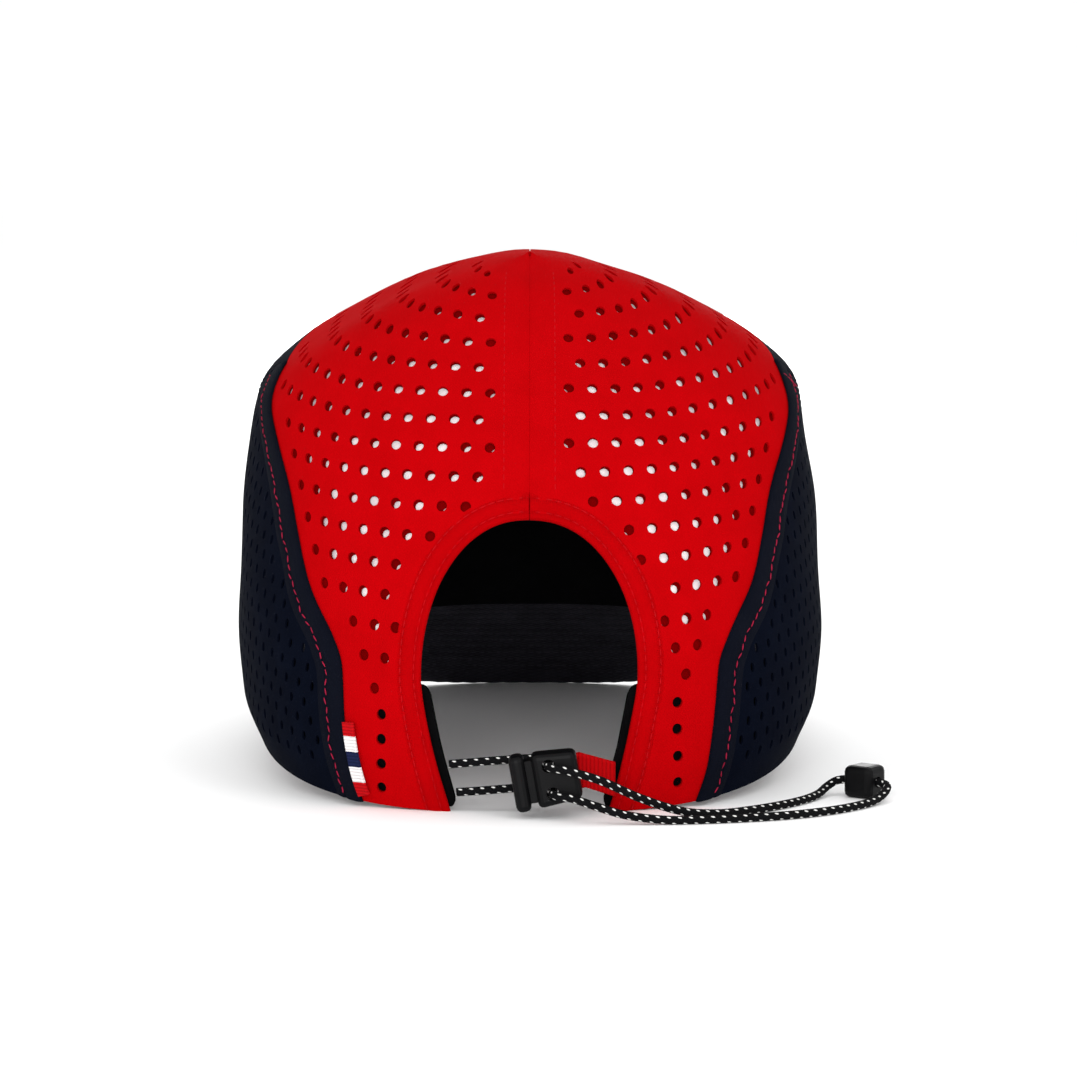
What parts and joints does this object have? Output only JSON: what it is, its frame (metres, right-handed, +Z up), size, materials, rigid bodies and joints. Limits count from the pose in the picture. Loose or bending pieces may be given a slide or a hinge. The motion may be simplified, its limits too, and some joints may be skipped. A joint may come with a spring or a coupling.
{
  "type": "running cap",
  "caption": "Light running cap: perforated rear panels round an arch opening, side and front panels, short brim, sweatband, and an elastic cord with a cord lock.",
  "frame": {"origin": "on the surface that the cap stands on, under the middle of its length and width, cord apart", "axes": "+Z up, +Y from the arch at the back towards the brim, +X towards the wearer's right, where the cord lies"},
  "size_m": [0.1829, 0.2669, 0.1482],
  "materials": {
    "red_cloth": "matt perforated polyester",
    "navy_cloth": "matt woven polyester",
    "black_cloth": "matt brushed knit",
    "white_lining": "matt white mesh",
    "striped_ribbon": "ribbed striped ribbon",
    "red_ribbon": "ribbed ribbon",
    "black_plastic": "satin moulded",
    "elastic": "braided elastic with white flecks"
  },
  "bodies": {
    "cap": {"crown_panel_left": "red_cloth", "crown_panel_right": "red_cloth", "side_panel_left": "navy_cloth", "side_panel_right": "navy_cloth", "front_panel": "navy_cloth", "brim": "navy_cloth", "sweatband": "black_cloth", "centre_seam_tape": "black_cloth", "crown_lining_left": "white_lining", "crown_lining_right": "white_lining", "striped_tab": "striped_ribbon", "lock_ribbon": "red_ribbon", "cord_lock_body": "black_plastic", "cord_toggle": "black_plastic", "elastic_cord": "elastic"},
    "lock_button": {"cord_lock_button": "black_plastic"}
  },
  "joints": [
    {"name": "button_slide", "type": "slide", "parent": "cap", "child": "lock_button", "axis": [0.9848, 0, 0.1736], "range_m": [0, 0.0017], "stiffness_N_per_m": 250}
  ]
}
